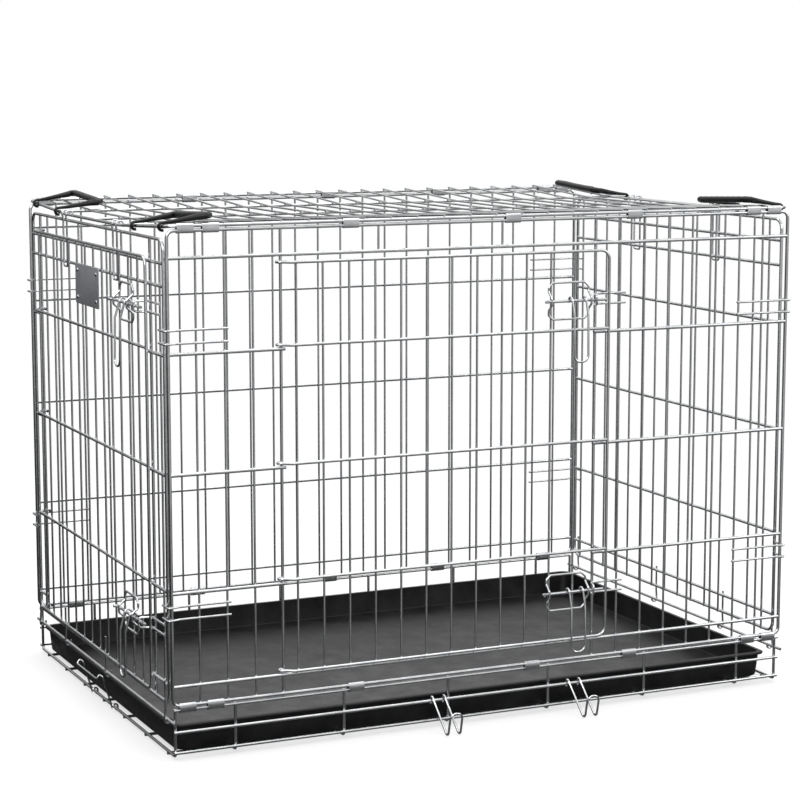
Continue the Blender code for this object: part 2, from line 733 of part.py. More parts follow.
def carry_handle(name, place, centre):
    """Two open hooks, thin arms and a thick grip, in one moulding."""
    ends = [centre - HANDLE_HALF, centre + HANDLE_HALF]
    heights = [roof_rail_height(along) for along in ends]
    step = radians(40)
    hook_r = 0.0016
    ring = (RAIL_R + GAP + hook_r) / cos(step / 2)
    angles = [radians(-110) - step * index for index in range(5)]
    side = [(ring * cos(angle), ring * sin(angle)) for angle in angles]
    arm = [(0.0120, 0.0058, 0.50), (0.0290, 0.0086, 0.66), (0.0455, 0.0112, 0.90)]
    path, sizes = [], []
    for which in (0, 1):
        points = []
        away = 1 if which else -1
        for x, z in side:
            points.append((ends[which], x, z, hook_r / HANDLE_R))
        for x, z, size in arm:
            points.append((ends[which] + away * 0.0045 * x / arm[-1][0], x, z, size))
        points.append((ends[which] + away * 0.0105, 0.0540, 0.0122, 1.05))
        points.append((ends[which] + away * 0.0030, 0.0590, 0.0128, 1.15))
        if which:
            points.reverse()
        path += points
    knots = []
    for along, inward, up, size in path:
        mix = (along - ends[0]) / (ends[1] - ends[0])
        base = heights[0] * (1 - mix) + heights[1] * mix
        knots.append((place(along, -inward, base + up), size))
    curve = bpy.data.curves.new(name, "CURVE")
    curve.dimensions = "3D"
    curve.bevel_depth = HANDLE_R
    curve.bevel_resolution = 1
    curve.use_fill_caps = True
    spline = curve.splines.new("POLY")
    spline.points.add(len(knots) - 1)
    for knot, (point, size) in zip(spline.points, knots):
        knot.co = (*point, 1)
        knot.radius = size
    mesh = closed_up(mesh_of(curve))
    return add(name, mesh, PLASTIC, place(centre, 0, sum(heights) / 2))


carry_handle("handle_left_rear", left, 0.0925)
carry_handle("handle_left_front", left, DEPTH - 0.0685)
carry_handle("handle_right_front", right, 0.0750)
carry_handle("handle_right_rear", right, DEPTH - 0.1100)
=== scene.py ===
"""The looks of a folding wire dog crate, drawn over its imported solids.

Metres, +Z up. X runs along the front from left to right, Y from the front to the rear.
"""

from math import cos, pi, radians, sin, tan

import bmesh
import bpy
from mathutils import Matrix, Vector


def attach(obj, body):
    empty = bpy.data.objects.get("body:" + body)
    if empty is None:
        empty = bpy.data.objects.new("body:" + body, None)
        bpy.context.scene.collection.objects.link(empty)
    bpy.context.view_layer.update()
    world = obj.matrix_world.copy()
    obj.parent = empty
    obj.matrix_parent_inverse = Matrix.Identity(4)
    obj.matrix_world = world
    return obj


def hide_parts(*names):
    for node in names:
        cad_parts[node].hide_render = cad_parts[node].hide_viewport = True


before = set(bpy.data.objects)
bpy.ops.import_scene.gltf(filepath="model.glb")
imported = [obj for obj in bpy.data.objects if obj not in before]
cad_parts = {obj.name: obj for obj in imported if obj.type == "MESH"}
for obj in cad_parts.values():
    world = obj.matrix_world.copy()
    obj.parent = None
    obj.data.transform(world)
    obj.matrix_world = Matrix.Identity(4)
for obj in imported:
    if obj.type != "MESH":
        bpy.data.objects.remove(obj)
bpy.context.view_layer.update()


# The cage's wire is drawn mild steel, cut, bent and spot welded, then plated with bright zinc.
# The plating is smooth and silvery, with faint drawing lines, cloudy patches and a blue cast.
# Here are the radii of its gauges, the depth of a weld, and the clearance of turning parts.
HEAVY = 0.0023
MEDIUM = 0.0020
THIN = 0.0015
FINE = 0.0014
PRESSED = 0.0004
CLEAR = 0.0005
WIRE_SIDES = 12
BEND_STEPS = 5
STRAIGHT = radians(174)
LEG_SHARE = 0.48
MERGE = 0.00001
SHARP = radians(48)


def spread(tree, value, low, high, first=0.0, last=1.0):
    """A value's range turned into another range: low gives first and high gives last."""
    node = tree.nodes.new("ShaderNodeMapRange")
    limits = {"From Min": low, "From Max": high, "To Min": first, "To Max": last}
    for limit, size in limits.items():
        node.inputs[limit].default_value = size
    tree.links.new(value, node.inputs["Value"])
    return node.outputs["Result"]


def grain_bump(tree, height, strength, depth):
    """Fine relief in the surface, read by the shader's normal."""
    relief = tree.nodes.new("ShaderNodeBump")
    relief.inputs["Strength"].default_value = strength
    relief.inputs["Distance"].default_value = depth
    tree.links.new(height, relief.inputs["Height"])
    tree.links.new(relief.outputs["Normal"], tree.nodes["Principled BSDF"].inputs["Normal"])


zinc = bpy.data.materials.new("bright_zinc")
zinc.use_nodes = True
nodes, links = zinc.node_tree.nodes, zinc.node_tree.links
shader = nodes["Principled BSDF"]
shader.inputs["Metallic"].default_value = 1.0
place_of = nodes.new("ShaderNodeTexCoord")
clouds = nodes.new("ShaderNodeTexNoise")
clouds.inputs["Scale"].default_value = 38.0
clouds.inputs["Detail"].default_value = 6.0
clouds.inputs["Roughness"].default_value = 0.62
links.new(place_of.outputs["Object"], clouds.inputs["Vector"])
plating = nodes.new("ShaderNodeValToRGB")
plating.color_ramp.elements[0].position = 0.30
plating.color_ramp.elements[0].color = (0.53, 0.55, 0.58, 1.0)
plating.color_ramp.elements[1].position = 0.72
plating.color_ramp.elements[1].color = (0.75, 0.77, 0.80, 1.0)
plating.color_ramp.elements.new(0.52).color = (0.66, 0.67, 0.675, 1.0)
links.new(clouds.outputs["Fac"], plating.inputs["Fac"])
links.new(plating.outputs["Color"], shader.inputs["Base Color"])
drawn = nodes.new("ShaderNodeTexNoise")
drawn.inputs["Scale"].default_value = 900.0
drawn.inputs["Detail"].default_value = 3.0
links.new(place_of.outputs["Object"], drawn.inputs["Vector"])
gloss = spread(zinc.node_tree, drawn.outputs["Fac"], 0.3, 0.7, 0.13, 0.24)
links.new(gloss, shader.inputs["Roughness"])
grain_bump(zinc.node_tree, drawn.outputs["Fac"], 0.05, 0.0002)


def rounded(points, radius, closed=False, steps=BEND_STEPS):
    """The points of a wire with each corner bent to a radius."""
    made = []
    for index, point in enumerate(points):
        if not closed and index in (0, len(points) - 1):
            made.append(point)
            continue
        before = points[index - 1] - point
        after = points[(index + 1) % len(points)] - point
        angle = before.angle(after)
        if angle > STRAIGHT:
            made.append(point)
            continue
        legs = (LEG_SHARE * before.length, LEG_SHARE * after.length)
        reach = min(radius / tan(angle / 2), *legs)
        middle = (before.normalized() + after.normalized()).normalized()
        centre = point + middle * reach / cos(angle / 2)
        start = point + before.normalized() * reach - centre
        end = point + after.normalized() * reach - centre
        turn = pi - angle
        for step in range(steps + 1):
            share = step / steps
            mix = start * sin((1 - share) * turn) + end * sin(share * turn)
            made.append(centre + mix / sin(turn))
    return made


def draw_wire(shape, path, radius, closed=False):
    """Pulls a round section along the path, mitred at each point."""
    points = list(path)
    if closed:
        seam = (points[0] + points[-1]) / 2
        points = [seam, *points, seam]
    run = (points[1] - points[0]).normalized()
    across = Matrix.Translation(points[0]) @ run.to_track_quat("Z", "Y").to_matrix().to_4x4()
    ring = bmesh.ops.create_circle(
        shape, cap_ends=not closed, radius=radius, segments=WIRE_SIDES, matrix=across
    )["verts"]
    edges = list({edge for vert in ring for edge in vert.link_edges})
    for index in range(1, len(points)):
        run = (points[index] - points[index - 1]).normalized()
        ahead = run
        if index + 1 < len(points):
            ahead = (points[index + 1] - points[index]).normalized()
        facing = (run + ahead).normalized()
        pulled = bmesh.ops.extrude_edge_only(shape, edges=edges)["geom"]
        ring = {item for item in pulled if isinstance(item, bmesh.types.BMVert)}
        for vert in ring:
            vert.co += run * ((points[index] - vert.co).dot(facing) / run.dot(facing))
        edges = [
            item for item in pulled
            if isinstance(item, bmesh.types.BMEdge) and set(item.verts) <= ring
        ]
    if not closed:
        bmesh.ops.edgeloop_fill(shape, edges=edges)


def finish_piece(shape, name, body, finish, slot, *replaced):
    """Closes a piece's mesh, gives it its finish and seats it on its body."""
    bmesh.ops.remove_doubles(shape, verts=shape.verts, dist=MERGE)
    bmesh.ops.recalc_face_normals(shape, faces=shape.faces)
    mesh = bpy.data.meshes.new(name)
    shape.to_mesh(mesh)
    shape.free()
    mesh.materials.append(finish)
    mesh.shade_smooth()
    mesh.set_sharp_from_angle(angle=SHARP)
    piece = bpy.data.objects.new(name, mesh)
    bpy.context.scene.collection.objects.link(piece)
    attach(piece, body)
    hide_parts(*replaced)
    return piece


def wire_piece(name, node, body, *groups):
    """A welded piece of wires: each group is a radius and its paths, closed if so marked."""
    shape = bmesh.new()
    for radius, paths, *closed in groups:
        for path in paths:
            draw_wire(shape, path, radius, bool(closed))
    finish_piece(shape, name, body, zinc, "bright_zinc", node)


# The base is a shallow basket of medium wire. Its floor wires turn up as the posts of its low
# walls, three rails run round each wall, and one end rail at each end carries an end panel.
WIDTH = 0.910
DEPTH = 0.610
FLOOR_Z = 0.0020
CROSS_Z = FLOOR_Z + 2 * MEDIUM - PRESSED
WALL_RAILS = (0.0105, 0.0372, 0.0662)
END_RAIL_Z = 0.0500
END_RAIL_PAST = 0.0070
WALL_RAIL_SHORT = 0.0008
FLOOR_LAP = 0.001
TIP = 0.0012
FLOOR_BEND = 0.004
FIRST_POST, POST_PITCH, POSTS = 0.0850, 0.1515, 6
FIRST_FLOOR, FLOOR_PITCH, FLOORS = 0.0330, 0.0907, 7
POST_XS = [-WIDTH / 2 + FIRST_POST + POST_PITCH * i for i in range(POSTS)]
END_X = WIDTH / 2 - (2 * MEDIUM - PRESSED)
FLOOR_YS = [-DEPTH / 2 + FIRST_FLOOR + FLOOR_PITCH * i for i in range(FLOORS)]
wall_y = DEPTH / 2 - (2 * MEDIUM - PRESSED)

basket = []
for x in POST_XS + [-END_X, END_X]:
    corners = ((-wall_y, WALL_RAILS[-1] + TIP), (-wall_y, CROSS_Z))
    corners += ((wall_y, CROSS_Z), (wall_y, WALL_RAILS[-1] + TIP))
    basket.append(rounded([Vector((x, y, z)) for y, z in corners], FLOOR_BEND))
wall_rails = [
    [Vector((end * (WIDTH / 2 - WALL_RAIL_SHORT), side * DEPTH / 2, up)) for end in (-1, 1)]
    for up in WALL_RAILS
    for side in (-1, 1)
]
floor_wires = [
    [Vector((end * (END_X + FLOOR_LAP), y, FLOOR_Z)) for end in (-1, 1)] for y in FLOOR_YS
]
end_rails = [
    [Vector((end * WIDTH / 2, side * (DEPTH / 2 + END_RAIL_PAST), END_RAIL_Z)) for side in (-1, 1)]
    for end in (-1, 1)
]
wire_piece("base", "base_frame", "base", (MEDIUM, basket + wall_rails + floor_wires + end_rails))


# The rear panel is one welded grid: a heavy frame with rounded corners, five heavy rails in its
# plane, and thin uprights welded behind them. Hairpins at its corners hook round the end panels.
COLUMNS = 24
PITCH_X = WIDTH / COLUMNS
PANEL_BOTTOM = 0.0718
REAR_RAILS = (0.0966, 0.2290, 0.3800, 0.5320, 0.6395)
PANEL_TOP = 0.6735
BEHIND = -(HEAVY + THIN - PRESSED)
POST_BEHIND = -(HEAVY + MEDIUM - PRESSED)
END_INSET = 0.0137
CLIP_ZS = (0.5498, 0.5333, 0.2000, 0.1836)
CLIP_PAST, CLIP_START, CLIP_TAIL, CLIP_BEND = 0.004, 0.0100, 0.0050, 0.0030
REAR_CLIPS_UP = 0.0125
PANEL_BEND = 0.009
RAIL_SHORT = 0.0006


def front(along, out, up):
    """A place on the front: along from its left corner, out from its rails, up."""
    return Vector((along - WIDTH / 2, -DEPTH / 2 - out, up))


def rear(along, out, up):
    return Vector((WIDTH / 2 - along, DEPTH / 2 + out, up))


def left(along, out, up):
    return Vector((-WIDTH / 2 - out, DEPTH / 2 - along, up))


def right(along, out, up):
    return Vector((WIDTH / 2 + out, along - DEPTH / 2, up))


def frame_loop(place, low, high, foot, top, radius=PANEL_BEND):
    corners = ((low, foot), (high, foot), (high, top), (low, top))
    return rounded([place(along, 0, up) for along, up in corners], radius, closed=True)


def rail(place, low, high, up, out=0.0):
    return [place(low, out, up), place(high, out, up)]


def upright(place, along, out, low, high):
    return [place(along, out, low - TIP), place(along, out, high + TIP)]


def corner_clips(place, span, lift=0.0):
    """Hairpin legs from just past the second upright, out round the corner and behind it."""
    paths = []
    out = BEHIND + 2 * THIN - PRESSED
    for up in CLIP_ZS:
        for corner, side in ((0.0, 1), (span, -1)):
            tip = corner - side * (HEAVY + CLEAR + THIN + TIP)
            paths.append(rounded([
                place(corner + side * (2 * PITCH_X + CLIP_PAST), out, up + lift),
                place(corner + side * CLIP_START, out, up + lift),
                place(tip, HEAVY + CLEAR + THIN, up + lift),
                place(tip, -END_INSET - CLIP_TAIL, up + lift),
            ], CLIP_BEND))
    return paths


wire_piece(
    "rear_grid", "rear_panel", "base",
    (HEAVY, [frame_loop(rear, 0, WIDTH, PANEL_BOTTOM, PANEL_TOP)], "closed"),
    (HEAVY, [rail(rear, RAIL_SHORT, WIDTH - RAIL_SHORT, up) for up in REAR_RAILS]),
    (THIN, [
        upright(rear, i * PITCH_X, BEHIND, PANEL_BOTTOM, PANEL_TOP) for i in range(1, COLUMNS)
    ]),
    (THIN, corner_clips(rear, WIDTH, REAR_CLIPS_UP)),
)


# The front panel is the same grid with a doorway in it. Medium posts stand at both sides of the
# doorway, and beside the latch post two closed hairpins bulge out to catch the slide bolts.
DOOR_TUCK = 0.0003
DOOR_OUT = HEAVY + CLEAR + 2 * THIN + MEDIUM - DOOR_TUCK
BOLT_OUT = DOOR_OUT + MEDIUM + CLEAR + MEDIUM
KINK_OUT = BOLT_OUT + MEDIUM + CLEAR + THIN
PANEL_RAILS = (0.0966, 0.2170, 0.3680, 0.5200, 0.6395)
FRONT_LATCHES = {"upper": 0.5645, "lower": 0.1680}
HINGE_COLUMN, LATCH_COLUMN = 4, 16
SHORT_UPRIGHTS = (0.2870, 0.4656)
CUT_RAIL_LAP = 0.0040
CATCH_HALF, CATCH_TAIL, CATCH_BEND = 0.0068, 0.0070, 0.004
CATCH_NEAR, CATCH_FAR = 0.0030, 0.0085


def catch(place, post, pitch, up):
    """A closed hairpin that starts past the next upright and bulges out beside its post."""
    flat = BEHIND + 2 * THIN - PRESSED
    upper = [
        (post + pitch + CATCH_TAIL, flat), (post - CATCH_NEAR, flat), (post - CATCH_FAR, KINK_OUT)
    ]
    path = [place(along, out, up + CATCH_HALF) for along, out in upper]
    path += [place(along, out, up - CATCH_HALF) for along, out in reversed(upper)]
    return rounded(path, CATCH_BEND)


hinge_post, latch_post = HINGE_COLUMN * PITCH_X, LATCH_COLUMN * PITCH_X
front_rails = [rail(front, RAIL_SHORT, WIDTH - RAIL_SHORT, up) for up in PANEL_RAILS[::4]]
for up in PANEL_RAILS[1:4]:
    front_rails.append(rail(front, RAIL_SHORT, hinge_post + CUT_RAIL_LAP, up))
    front_rails.append(rail(front, latch_post - CUT_RAIL_LAP, WIDTH - RAIL_SHORT, up))
front_uprights = [
    upright(front, i * PITCH_X, BEHIND, PANEL_BOTTOM, PANEL_TOP)
    for i in (1, 2, 3, *range(LATCH_COLUMN + 1, COLUMNS))
]
front_uprights += [
    upright(front, along, BEHIND, PANEL_RAILS[-1], PANEL_TOP) for along in SHORT_UPRIGHTS
]
wire_piece(
    "front_grid", "front_panel", "base",
    (HEAVY, [frame_loop(front, 0, WIDTH, PANEL_BOTTOM, PANEL_TOP)], "closed"),
    (HEAVY, front_rails),
    (THIN, front_uprights),
    (MEDIUM, [
        upright(front, post, POST_BEHIND, PANEL_BOTTOM, PANEL_TOP)
        for post in (hinge_post, latch_post)
    ]),
    (THIN, corner_clips(front, WIDTH)),
    (THIN, [catch(front, latch_post, PITCH_X, up) for up in FRONT_LATCHES.values()]),
)


# The roof is a grid that sags towards its middle. Its cross wires lie on top of its heavy edge,
# and three bars of medium wire run from end to end under them.
ROOF_GAP = 0.0010
ROOF_Z = PANEL_TOP + 2 * HEAVY + ROOF_GAP
ROOF_SAG = 0.0115
ROOF_SHARES = (0.02, 0.30, 0.70, 0.98)
ROOF_BAR_SHARES = (0.25, 0.50, 0.75)
ON_TOP = HEAVY + THIN - PRESSED
EDGE_START, CORNER_CUT = 0.012, 0.0035
ROOF_BEND, ROOF_BEND_STEPS = 0.006, 3
CROSS_PAST = 0.002


def sag(share):
    """How far the roof hangs below its corners, a share of the way from front to rear."""
    share = min(max(share, 0), 1)
    return ROOF_SAG * 4 * share * (1 - share)


def roof_line(x, lift, shares):
    return [Vector((x, DEPTH * (share - 0.5), ROOF_Z + lift - sag(share))) for share in shares]


def roof_height(along):
    """Height of a roof end rail, which is straight between its bends."""
    share = along / DEPTH
    for low, high in zip(ROOF_SHARES, ROOF_SHARES[1:]):
        if low <= share <= high:
            mix = (share - low) / (high - low)
            return ROOF_Z - sag(low) * (1 - mix) - sag(high) * mix
    return ROOF_Z


half_x, half_y = WIDTH / 2, DEPTH / 2
roof_edge = []
for side in (-1, 1):
    for end in (side, -side):
        roof_edge.append(Vector((end * (half_x - EDGE_START), side * half_y, ROOF_Z)))
    corner = Vector((-side * (half_x - CORNER_CUT), side * (half_y - CORNER_CUT), ROOF_Z))
    roof_edge.append(corner)
    roof_edge += roof_line(-side * half_x, 0, ROOF_SHARES)[::-side]
    roof_edge.append(Vector((corner.x, -corner.y, ROOF_Z)))
roof_bars = []
for share in ROOF_BAR_SHARES:
    up = roof_height(share * DEPTH) + ON_TOP - (THIN + MEDIUM - PRESSED)
    roof_bars.append([
        Vector((side * (half_x - RAIL_SHORT), DEPTH * (share - 0.5), up)) for side in (-1, 1)
    ])
cross_shares = (-CROSS_PAST, *ROOF_SHARES[1:3], 1 + CROSS_PAST)
wire_piece(
    "roof_grid", "roof_panel", "base",
    (HEAVY, [rounded(roof_edge, ROOF_BEND, closed=True, steps=ROOF_BEND_STEPS)], "closed"),
    (MEDIUM, roof_bars),
    (THIN, [roof_line(-half_x + i * PITCH_X, ON_TOP, cross_shares) for i in range(1, COLUMNS)]),
)


# Sleeves of thin zinc-plated sheet are bent round each pair of rails where the roof and the
# base meet the front and rear panels. They are the hinges that the whole crate folds on.
SHEET = 0.0008
SLEEVE_LENGTH = 0.0220
SLEEVE_FIT = 0.00035
SLEEVE_SIDES = 28
TOP_PAIR = (PANEL_TOP, ROOF_Z)
LOW_PAIR = (WALL_RAILS[-1], PANEL_BOTTOM)
SLEEVES = {
    "front_top": (front, TOP_PAIR, (0.62, 1.5, 6.5, 12.63, 17.5, 22.5, 23.38)),
    "front_low": (front, LOW_PAIR, (0.5, 1.5, 6.65, 13.5, 17.5, 22.6, 23.5)),
    "rear_top": (rear, TOP_PAIR, (0.62, 1.5, 6.5, 11.5, 17.5, 23.38)),
    "rear_low": (rear, LOW_PAIR, (1.4, 6.5, 11.5, 17.35, 22.5)),
}


def sleeve(name, place, along, low, high):
    """A ring of sheet drawn out to fit two rails, then pulled along them."""
    shape = bmesh.new()
    inner = HEAVY + SLEEVE_FIT
    centre = place(along - SLEEVE_LENGTH / 2, 0, (low + high) / 2)
    run = place(1, 0, 0) - place(0, 0, 0)
    facing = Matrix.Translation(centre) @ run.to_track_quat("Z", "Y").to_matrix().to_4x4()
    ring = bmesh.ops.create_circle(
        shape, radius=inner + SHEET, segments=SLEEVE_SIDES, matrix=facing
    )["verts"]
    for vert in ring:
        offset = (high - low) / 2
        vert.co.z += offset if vert.co.z > centre.z else -offset
    edges = list(shape.edges)
    pulled = bmesh.ops.extrude_edge_only(shape, edges=edges)["geom"]
    far = [item for item in pulled if isinstance(item, bmesh.types.BMVert)]
    bmesh.ops.translate(shape, verts=far, vec=run * SLEEVE_LENGTH)
    bmesh.ops.recalc_face_normals(shape, faces=shape.faces)
    bmesh.ops.solidify(shape, geom=shape.faces[:], thickness=SHEET)
    finish_piece(shape, name + "_sheet", "base", zinc, "bright_zinc", name)


for label, (place, pair, columns) in SLEEVES.items():
    for index, column in enumerate(columns):
        sleeve(f"sleeve_{label}_{index + 1}", place, column * PITCH_X, *pair)


# Each end panel stands just inside the front and rear panels. J-shaped wires at its foot turn
# round the base's end rail, and fine hairpins at its top hook over the roof's end rail.
ROWS = 16
PITCH_Y = DEPTH / ROWS
END_BOTTOM = 0.0716
LEFT_RAILS = (0.0966, 0.2170, 0.3660, 0.5170, 0.6035, 0.6320)
RIGHT_RAILS = (0.0966, 0.2170, 0.3660, 0.5170, 0.5975, 0.6320)
END_TOP = 0.6615
END_LOW, END_HIGH = END_INSET, DEPTH - END_INSET
END_LATCHES = {"upper": 0.5735, "lower": 0.1640}
END_HINGE_ROW, END_LATCH_ROW = 1, 14
HINGE_ALONG = (0.0200, 0.1500, 0.3400, 0.5900)
TOP_HOOKS = (0.1880, 0.4141)
END_HOOK_EYE = (MEDIUM + CLEAR + FINE) / cos(radians(20)) + 0.0002
END_HOOK_OUT = HEAVY + FINE - PRESSED
END_BEND = 0.014
HAIRPIN_HALF, HAIRPIN_BEND, HAIRPIN_STEPS = 0.0085, 0.0030, 4
DOORWAY_ROWS = (2, 6, 11)


def curled(radius, first, turn, count):
    """Points round a curl, in even turns from a first angle: the offsets across it and up it."""
    angles = [radians(first + turn * step) for step in range(count)]
    return [(radius * cos(angle), radius * sin(angle)) for angle in angles]


def hinge_hook(place, along):
    """A J-shaped wire at an end panel's foot, which turns round the base's end rail."""
    shank = [
        place(along, END_HOOK_OUT, up) for up in (LEFT_RAILS[0] + 0.0050, END_BOTTOM - 0.0060)
    ]
    curl = curled(END_HOOK_EYE, 10, -15, 16)
    return shank + [place(along, out, END_RAIL_Z + up) for out, up in curl]


def top_hook(place, along, second):
    """A hairpin that stands on the second rail from the top and hooks over the roof's end rail."""
    over = roof_height(along)
    out = END_HOOK_OUT
    reach = HEAVY + CLEAR + FINE + 0.0008
    leg = [
        (out, second - 0.0060),
        (out, END_TOP + 0.0010),
        (out + 0.0014, over),
        (out + 0.0002, over + reach),
        (-reach, over + reach),
        (-reach - 0.0006, over - 0.0030),
    ]
    near = [place(along - HAIRPIN_HALF, out, up) for out, up in reversed(leg)]
    far = [place(along + HAIRPIN_HALF, out, up) for out, up in leg]
    return rounded(near + far, HAIRPIN_BEND, steps=HAIRPIN_STEPS)


def end_grid(name, node, body, place, heights, doorway):
    low, high = END_LOW + RAIL_SHORT, END_HIGH - RAIL_SHORT
    posts = [row * PITCH_Y for row in (END_HINGE_ROW, END_LATCH_ROW)]
    rails = []
    for up in heights:
        if doorway and up < heights[-2]:
            rails.append(rail(place, low, posts[0] + CUT_RAIL_LAP, up))
            rails.append(rail(place, posts[1] - CUT_RAIL_LAP, high, up))
        else:
            rails.append(rail(place, low, high, up))
    rows = range(END_LATCH_ROW + 1 if doorway else 1, ROWS)
    uprights = [upright(place, i * PITCH_Y, BEHIND, END_BOTTOM, END_TOP) for i in rows]
    hooks = [hinge_hook(place, along) for along in HINGE_ALONG]
    hooks += [top_hook(place, along, heights[-2]) for along in TOP_HOOKS]
    groups = [
        (HEAVY, [frame_loop(place, END_LOW, END_HIGH, END_BOTTOM, END_TOP, END_BEND)], "closed"),
        (HEAVY, rails),
        (FINE, hooks),
    ]
    if doorway:
        uprights += [
            upright(place, i * PITCH_Y, BEHIND, heights[-1], END_TOP) for i in DOORWAY_ROWS
        ]
        groups.append(
            (MEDIUM, [upright(place, post, POST_BEHIND, END_BOTTOM, END_TOP) for post in posts])
        )
        groups.append(
            (THIN, [catch(place, posts[1], PITCH_Y, up) for up in END_LATCHES.values()])
        )
    groups.append((THIN, uprights))
    wire_piece(name, node, body, *groups)


end_grid("left_end_grid", "left_end_panel", "left_end", left, LEFT_RAILS, True)
end_grid("right_end_grid", "right_end_panel", "right_end", right, RIGHT_RAILS, False)


# Each door is a bent outline of medium wire whose rails curl round the hinge post, with thin
# uprights behind. Two hexagonal guides on its free side carry the slide bolts.
GUIDE_H = 0.0490
GUIDE_CUT, GUIDE_SHOULDER, GUIDE_POINT = 0.006, 0.0125, 0.0045
GUIDE_BEND, GUIDE_STEPS = 0.0035, 3
EYE = (MEDIUM + CLEAR + MEDIUM) / cos(radians(24)) + 0.0001
AFTER_EYE = 0.0110
DOOR_BEND = 0.012
DOOR_BEHIND = DOOR_OUT - (MEDIUM + THIN - PRESSED)
DOORS = {
    "front_door": {
        "place": front, "body": "front_door", "hinge": HINGE_COLUMN * PITCH_X, "edge": 0.6215,
        "rails": (0.1018, 0.2225, 0.3730, 0.5250, 0.6300), "guide": 0.5600, "width": 0.0600,
        "first": 0.1695, "last": 0.5712, "count": 12, "latches": FRONT_LATCHES,
    },
    "end_door": {
        "place": left, "body": "end_door", "hinge": END_HINGE_ROW * PITCH_Y, "edge": 0.5480,
        "rails": (0.0800, 0.2225, 0.3715, 0.5225, 0.6375), "guide": 0.4700, "width": 0.0540,
        "first": 0.0570, "last": 0.5081, "count": 13, "latches": END_LATCHES,
    },
}


def curled_start(door, up):
    """A rail's end, which starts behind the hinge post and curls round it to the front."""
    place, post = door["place"], door["hinge"]
    curl = [
        place(post + along, POST_BEHIND + out, up) for along, out in curled(EYE, -50, -15, 17)
    ]
    return curl + [place(post + AFTER_EYE, DOOR_OUT, up)]


def guide(door, up):
    """The hexagonal loop that a bolt slides through, bulged out at its two side corners."""
    flat = DOOR_BEHIND + 2 * THIN - PRESSED
    half_w, half_h = door["width"] / 2, GUIDE_H / 2
    path = []
    for side in (-1, 1):
        centre, edge = door["guide"], door["guide"] + side * half_w
        for along, out, rise in (
            (centre + side * (half_w - GUIDE_CUT), flat, half_h),
            (edge, flat, half_h - GUIDE_CUT),
            (edge, flat, GUIDE_SHOULDER),
            (edge, KINK_OUT, GUIDE_POINT),
            (edge, KINK_OUT, -GUIDE_POINT),
            (edge, flat, -GUIDE_SHOULDER),
            (edge, flat, -half_h + GUIDE_CUT),
            (centre + side * (half_w - GUIDE_CUT), flat, -half_h),
        ):
            path.append(door["place"](along, out, up - side * rise))
    return rounded(path, GUIDE_BEND, closed=True, steps=GUIDE_STEPS)


for name, door in DOORS.items():
    place, edge = door["place"], door["edge"]
    low, high = door["rails"][0], door["rails"][-1]
    top, bottom = curled_start(door, high), curled_start(door, low)
    free_side = [top[-1], place(edge, DOOR_OUT, high), place(edge, DOOR_OUT, low), bottom[-1]]
    outline = top[:-1] + rounded(free_side, DOOR_BEND) + bottom[:-1][::-1]
    bars = [
        curled_start(door, up) + [place(edge - RAIL_SHORT, DOOR_OUT, up)]
        for up in door["rails"][1:-1]
    ]
    spacing = (door["last"] - door["first"]) / (door["count"] - 1)
    uprights = [
        upright(place, door["first"] + spacing * i, DOOR_BEHIND, low, high)
        for i in range(door["count"])
    ]
    wire_piece(
        name + "_grid", name, door["body"],
        (MEDIUM, [outline, *bars]),
        (THIN, uprights),
        (THIN, [guide(door, up) for up in door["latches"].values()], "closed"),
    )


# Each latch is a straight bolt that slides through its guide, bent out at its tail, and a U of
# thin wire that curls round the bolt and hangs down as its pull. A row says where the bolt's tip
# is, how long it is and where the pull hangs.
BOLTS = {
    "front": (front, 0.6145, 0.0920, 0.5710, FRONT_LATCHES),
    "end": (left, 0.5420, 0.1180, 0.4800, END_LATCHES),
}
BOLT_TAIL, BOLT_BEND = 0.0055, 0.003
PULL_RING = (MEDIUM + CLEAR + THIN) / cos(radians(35)) + 0.0001
PULL_HALF, PULL_BEND = 0.0105, 0.009
PULL_LEG = ((0.0110, -0.0200), (0.0120, -0.0810))

for side, (place, tip, length, hung, latches) in BOLTS.items():
    for level, up in latches.items():
        bolt = rounded([
            place(tip - length, BOLT_OUT + BOLT_TAIL, up),
            place(tip - length, BOLT_OUT, up),
            place(tip, BOLT_OUT, up),
        ], BOLT_BEND)
        name = f"{side}_bolt_{level}"
        wire_piece(name + "_rod", name, name, (MEDIUM, [bolt]))
        leg = [(BOLT_OUT - out, rise) for out, rise in curled(PULL_RING, -30, 15, 15)]
        leg += [(BOLT_OUT + out, rise) for out, rise in PULL_LEG]
        near = [place(hung - PULL_HALF, out, up + rise) for out, rise in leg]
        far = [place(hung + PULL_HALF, out, up + rise) for out, rise in reversed(leg)]
        bend = rounded(near[-2:] + far[:2], PULL_BEND)
        name = f"{side}_pull_{level}"
        wire_piece(name + "_wire", name, name, (THIN, [near[:-2] + bend + far[2:]]))


# Two J-shaped hooks turn on the base's front rail and lock the crate when it is folded flat.
# A shallow U at the left end turns on the base and stops the tray.
LOCKS = {"fold_hook_left": 0.3715, "fold_hook_right": 0.5770}
LOCK_RING = (MEDIUM + CLEAR + THIN) / cos(radians(37.5)) + 0.0001
LOCK_HALF, LOCK_ARCH, LOCK_BEND = 0.0088, 0.0086, 0.005
LOCK_LEG = ((0.0490, -0.0014), (0.0570, 0.0330))
STOP_R, STOP_CLEAR = 0.0013, 0.0004
STOP_RING = (MEDIUM + STOP_CLEAR + STOP_R) / cos(radians(30))
STOP_SPAN = (0.2640, 0.3550)
STOP_LEG = ((0.0130, 0.0490), (0.0175, 0.0535), (0.0215, 0.0475))
STOP_BEND, STOP_STEPS = 0.002, 3

